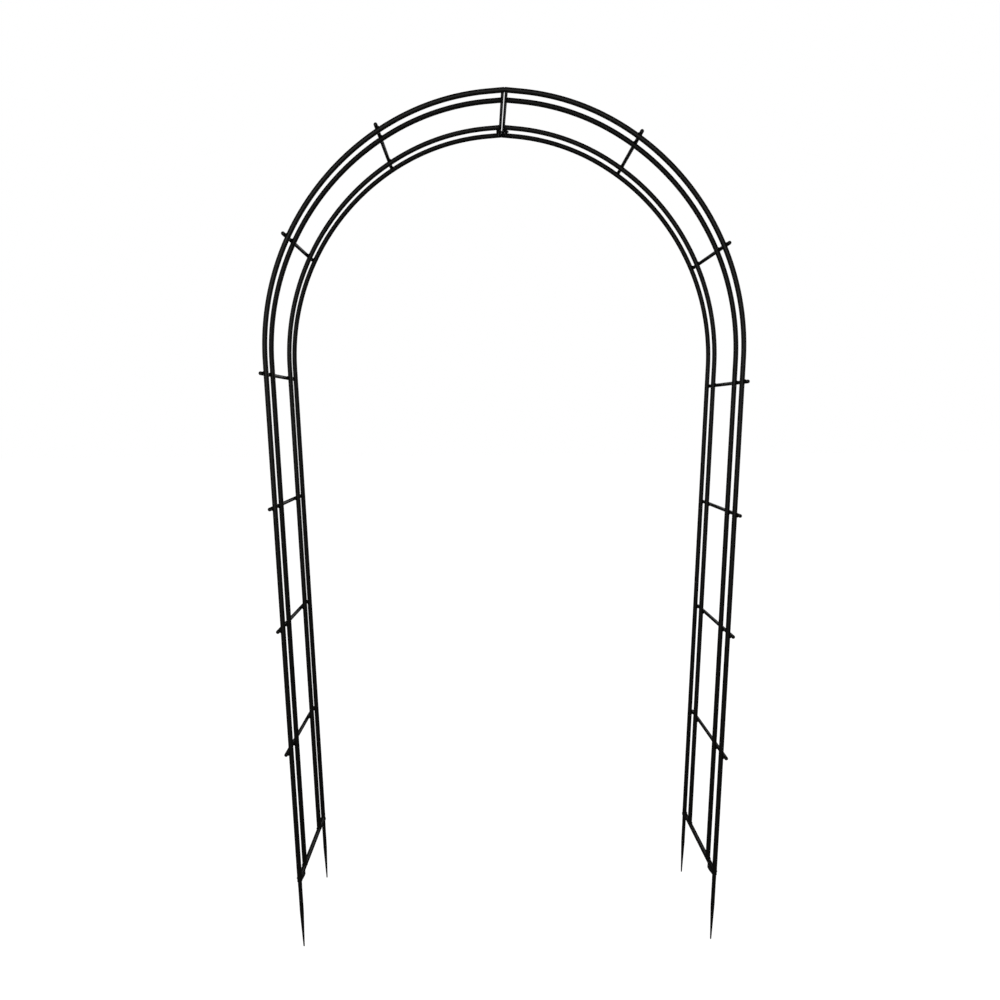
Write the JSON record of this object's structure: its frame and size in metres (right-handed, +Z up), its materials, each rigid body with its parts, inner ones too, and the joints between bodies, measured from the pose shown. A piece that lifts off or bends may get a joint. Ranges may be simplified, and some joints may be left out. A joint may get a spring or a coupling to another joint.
{
  "type": "metal trellis arch",
  "caption": "Slender garden arch of bent steel tube rails and welded rungs, made as ladder halves joined at the crown, with pointed ground stakes, for climbing plants.",
  "frame": {"origin": "middle of the footprint, at the level of the stake points", "axes": "+X to the right across the walkway, +Y through the arch from front to back, +Z up"},
  "size_m": [1.3878, 0.414, 2.4913],
  "materials": {
    "powder_coat": "black powder coat, semi-gloss, with a fine orange-peel texture",
    "hardware": "black zinc, satin"
  },
  "bodies": {
    "root": {"left_rail_front_outer": "powder_coat", "left_rail_front_inner": "powder_coat", "left_rail_rear_inner": "powder_coat", "left_rail_rear_outer": "powder_coat", "left_rung_1": "powder_coat", "left_rung_2": "powder_coat", "left_rung_3": "powder_coat", "left_rung_4": "powder_coat", "left_rung_5": "powder_coat", "left_rung_6": "powder_coat", "left_bottom_bar": "powder_coat", "left_crown_rod": "powder_coat", "left_front_stake": "powder_coat", "left_rear_stake": "powder_coat", "left_step_plate": "powder_coat", "left_crown_lug": "powder_coat", "right_rail_front_outer": "powder_coat", "right_rail_front_inner": "powder_coat", "right_rail_rear_inner": "powder_coat", "right_rail_rear_outer": "powder_coat", "right_rung_1": "powder_coat", "right_rung_2": "powder_coat", "right_rung_3": "powder_coat", "right_rung_4": "powder_coat", "right_rung_5": "powder_coat", "right_rung_6": "powder_coat", "right_bottom_bar": "powder_coat", "right_crown_rod": "powder_coat", "right_front_stake": "powder_coat", "right_rear_stake": "powder_coat", "right_step_plate": "powder_coat", "right_crown_lug": "powder_coat", "front_crown_dowel": "hardware", "rear_crown_dowel": "hardware", "crown_bolt": "hardware", "crown_washers": "hardware", "crown_nut": "hardware"}
  },
  "joints": []
}
